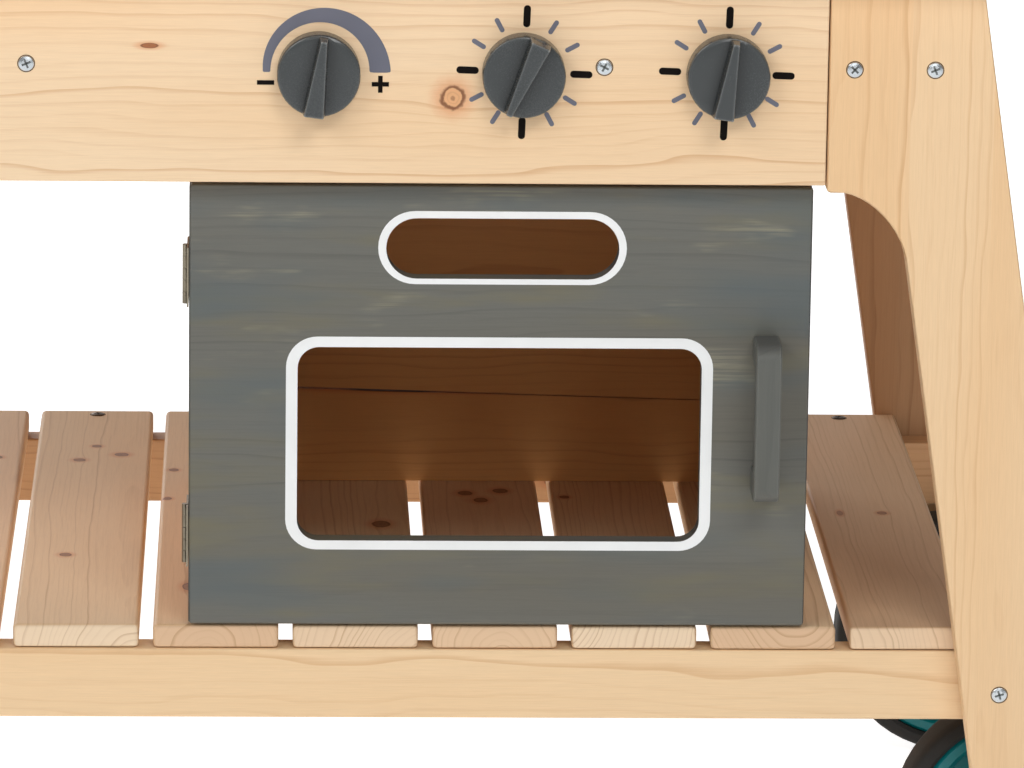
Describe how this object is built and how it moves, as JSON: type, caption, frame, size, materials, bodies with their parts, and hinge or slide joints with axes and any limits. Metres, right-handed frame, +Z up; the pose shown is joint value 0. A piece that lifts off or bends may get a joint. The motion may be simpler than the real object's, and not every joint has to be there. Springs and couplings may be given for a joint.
{
  "type": "toy kitchen",
  "caption": "Wooden outdoor play kitchen with slatted shelf, windowed oven door, turning knobs, basin, tap and transport wheels.",
  "frame": {"origin": "middle of the bounding box's bottom, on the floor under the middle of the shelf", "axes": "+Z up; front, with the knobs and the oven door, faces -Y; +X towards the wheels, right as seen from the front"},
  "size_m": [1.0728, 0.599, 0.7036],
  "materials": {
    "spruce": "clear-oiled spruce",
    "slat_wood": "unfinished sawn softwood",
    "oven_wood": "unfinished sawn softwood",
    "door_stain": "grey translucent stain with white painted bands",
    "pull_stain": "grey stain",
    "knob_plastic": "satin grey moulding",
    "tyre": "matt black rubber",
    "rim_plastic": "teal moulding",
    "black_plastic": "black moulding",
    "burner_paint": "satin black",
    "hinge_nickel": "dull nickel plate",
    "basin_steel": "brushed",
    "tap_metal": "polished",
    "axle_steel": "zinc plated"
  },
  "bodies": {
    "frame": {"leg_front_left": "spruce", "leg_front_right": "spruce", "leg_rear_left": "spruce", "leg_rear_right": "spruce", "lower_rail_front": "spruce", "lower_rail_rear": "spruce", "upper_rail_front": "spruce", "upper_rail_rear": "spruce", "side_apron_left": "spruce", "side_apron_right": "spruce", "fascia": "spruce", "shelf_slat_01": "slat_wood", "shelf_slat_02": "slat_wood", "shelf_slat_03": "slat_wood", "shelf_slat_04": "slat_wood", "shelf_slat_05": "slat_wood", "shelf_slat_06": "slat_wood", "shelf_slat_07": "slat_wood", "shelf_slat_08": "slat_wood", "shelf_slat_09": "slat_wood", "shelf_slat_10": "slat_wood", "shelf_slat_11": "slat_wood", "worktop": "spruce", "splash_board": "spruce", "burner_large": "burner_paint", "burner_small": "burner_paint", "tap_column": "tap_metal", "oven_wall_left": "oven_wood", "oven_wall_right": "oven_wood", "oven_back_lower": "oven_wood", "oven_back_upper": "oven_wood", "oven_top": "oven_wood", "catch_magnet": "black_plastic", "hinge_fixed_lower": "hinge_nickel", "hinge_fixed_upper": "hinge_nickel", "axle": "axle_steel", "axle_cap_front": "black_plastic", "axle_cap_rear": "black_plastic", "axle_spacer_front": "axle_steel", "axle_spacer_rear": "axle_steel", "axle_collar_front": "axle_steel", "axle_collar_rear": "axle_steel", "bar_bracket_front": "spruce", "bar_bracket_rear": "spruce", "carry_bar": "spruce"},
    "door": {"oven_door": "door_stain", "door_pull": "pull_stain", "catch_keeper": "hinge_nickel", "hinge_moving_lower": "hinge_nickel", "hinge_moving_upper": "hinge_nickel"},
    "knob_left": {"knob_1": "knob_plastic"},
    "knob_middle": {"knob_2": "knob_plastic"},
    "knob_right": {"knob_3": "knob_plastic"},
    "wheel_front": {"tyre_front": "tyre", "rim_front": "rim_plastic"},
    "wheel_rear": {"tyre_rear": "tyre", "rim_rear": "rim_plastic"},
    "basin": {"basin": "basin_steel"},
    "spout": {"tap_spout": "tap_metal"},
    "handle": {"tap_handle": "tap_metal"}
  },
  "joints": [
    {"name": "door_hinge", "type": "hinge", "parent": "frame", "child": "door", "pos_m": [-0.0174, -0.2442, 0.33], "axis": [0, 0, -1], "range_deg": [0, 115]},
    {"name": "knob_left_turn", "type": "hinge", "parent": "frame", "child": "knob_left", "pos_m": [0.0552, -0.2721, 0.522], "axis": [0, -1, 0], "range_deg": [-90, 90]},
    {"name": "knob_middle_turn", "type": "hinge", "parent": "frame", "child": "knob_middle", "pos_m": [0.167, -0.2721, 0.522], "axis": [0, -1, 0], "continuous": true},
    {"name": "knob_right_turn", "type": "hinge", "parent": "frame", "child": "knob_right", "pos_m": [0.2786, -0.2721, 0.522], "axis": [0, -1, 0], "continuous": true},
    {"name": "wheel_front_roll", "type": "hinge", "parent": "frame", "child": "wheel_front", "pos_m": [0.46213, -0.206, 0.076], "axis": [0, 1, 0], "continuous": true},
    {"name": "wheel_rear_roll", "type": "hinge", "parent": "frame", "child": "wheel_rear", "pos_m": [0.46213, 0.206, 0.076], "axis": [0, 1, 0], "continuous": true},
    {"name": "basin_lift", "type": "slide", "parent": "frame", "child": "basin", "axis": [0, 0, 1], "range_m": [0, 0.025]},
    {"name": "spout_swivel", "type": "hinge", "parent": "frame", "child": "spout", "pos_m": [-0.19, 0.1985, 0.64], "axis": [0, 0, 1], "range_deg": [-100, 100]},
    {"name": "handle_turn", "type": "hinge", "parent": "frame", "child": "handle", "pos_m": [-0.19, 0.1985, 0.668], "axis": [0, 0, 1], "range_deg": [-90, 30]}
  ]
}
